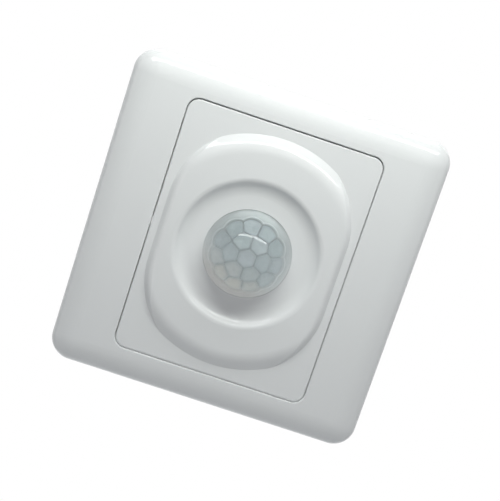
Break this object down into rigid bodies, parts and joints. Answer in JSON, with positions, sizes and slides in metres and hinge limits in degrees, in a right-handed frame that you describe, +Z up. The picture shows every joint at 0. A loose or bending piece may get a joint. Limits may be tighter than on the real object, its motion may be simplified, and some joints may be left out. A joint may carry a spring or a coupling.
{
  "type": "wall motion sensor switch",
  "caption": "Square wall plate with a centre panel, a raised round boss and a dished domed Fresnel lens over a passive infrared sensor, with a housing behind for the wall box.",
  "frame": {"origin": "centre of the plate on the wall's surface, midway between the two wall screws", "axes": "+Z up, +X to the right as seen from the room, +Y into the wall; the lens faces -Y"},
  "size_m": [0.086, 0.0421, 0.086],
  "materials": {
    "frame_plastic": "moulded, glossy",
    "panel_plastic": "moulded, glossy",
    "lens_polyethylene": "milky, translucent, glossy",
    "base_plastic": "moulded, matt",
    "housing_plastic": "moulded, matt",
    "circuit_board": "solder mask",
    "tinned_pins": "tin plated",
    "screw_steel": "zinc plated",
    "can_steel": "nickel plated",
    "filter_glass": "dark, polished",
    "light_cell": "coated ceramic",
    "chip_resin": "moulded epoxy",
    "capacitor_sleeve": "shrink sleeve",
    "resistor_lacquer": "lacquered",
    "fuse_glass": "glass with plated caps",
    "varistor_resin": "dipped epoxy",
    "capacitor_box": "moulded box",
    "heatsink_aluminium": "folded sheet",
    "trimmer_plastic": "moulded",
    "rotor_plastic": "moulded",
    "terminal_plastic": "moulded",
    "contact_brass": "stamped",
    "cage_steel": "zinc plated"
  },
  "bodies": {
    "base": {"sensor_panel": "panel_plastic", "fresnel_lens": "lens_polyethylene", "lens_retainer": "base_plastic", "mounting_base": "base_plastic", "rear_housing": "housing_plastic", "sensor_board": "circuit_board", "power_board": "circuit_board", "header_pins": "tinned_pins", "board_spacers": "base_plastic", "housing_screws": "screw_steel", "panel_screws": "screw_steel", "pir_can": "can_steel", "pir_window": "filter_glass", "pir_leads": "tinned_pins", "pir_spacer": "base_plastic", "light_sensor": "light_cell", "control_chip": "chip_resin", "timing_capacitors": "capacitor_sleeve", "board_resistors": "resistor_lacquer", "rectifier_diodes": "chip_resin", "fuse": "fuse_glass", "varistor": "varistor_resin", "film_capacitor": "capacitor_box", "main_capacitor": "capacitor_sleeve", "triac_heatsink": "heatsink_aluminium", "triac": "chip_resin", "time_trimmer_body": "trimmer_plastic", "lux_trimmer_body": "trimmer_plastic", "terminal_block": "terminal_plastic", "terminal_contacts": "contact_brass"},
    "frame": {"face_frame": "frame_plastic"},
    "time_rotor": {"time_trimmer_rotor": "rotor_plastic"},
    "lux_rotor": {"lux_trimmer_rotor": "rotor_plastic"},
    "clamp_screw_1": {"terminal_screw_1": "screw_steel"},
    "clamp_cage_1": {"terminal_cage_1": "cage_steel"},
    "clamp_screw_2": {"terminal_screw_2": "screw_steel"},
    "clamp_cage_2": {"terminal_cage_2": "cage_steel"},
    "clamp_screw_3": {"terminal_screw_3": "screw_steel"},
    "clamp_cage_3": {"terminal_cage_3": "cage_steel"}
  },
  "joints": [
    {"name": "frame_pull", "type": "slide", "parent": "base", "child": "frame", "axis": [0, -1, 0], "range_m": [0, 0.02]},
    {"name": "time_turn", "type": "hinge", "parent": "base", "child": "time_rotor", "pos_m": [-0.0125, 0.02, 0.0156], "axis": [0, 1, 0], "range_deg": [-110, 110]},
    {"name": "lux_turn", "type": "hinge", "parent": "base", "child": "lux_rotor", "pos_m": [0.0125, 0.02, 0.0156], "axis": [0, 1, 0], "range_deg": [-110, 110]},
    {"name": "cage_1_rise", "type": "slide", "parent": "base", "child": "clamp_cage_1", "axis": [0, 1, 0], "range_m": [0, 0.0024]},
    {"name": "screw_1_turn", "type": "hinge", "parent": "base", "child": "clamp_screw_1", "pos_m": [-0.0075, 0.02, -0.02175], "axis": [0, -1, 0], "range_deg": [0, 1920]},
    {"name": "cage_2_rise", "type": "slide", "parent": "base", "child": "clamp_cage_2", "axis": [0, 1, 0], "range_m": [0, 0.0024]},
    {"name": "screw_2_turn", "type": "hinge", "parent": "base", "child": "clamp_screw_2", "pos_m": [0, 0.02, -0.02175], "axis": [0, -1, 0], "range_deg": [0, 1920]},
    {"name": "cage_3_rise", "type": "slide", "parent": "base", "child": "clamp_cage_3", "axis": [0, 1, 0], "range_m": [0, 0.0024]},
    {"name": "screw_3_turn", "type": "hinge", "parent": "base", "child": "clamp_screw_3", "pos_m": [0.0075, 0.02, -0.02175], "axis": [0, -1, 0], "range_deg": [0, 1920]}
  ],
  "couplings": [
    {"joint": "screw_1_turn", "follows": "cage_1_rise", "rad_per_m": 13963},
    {"joint": "screw_2_turn", "follows": "cage_2_rise", "rad_per_m": 13963},
    {"joint": "screw_3_turn", "follows": "cage_3_rise", "rad_per_m": 13963}
  ]
}
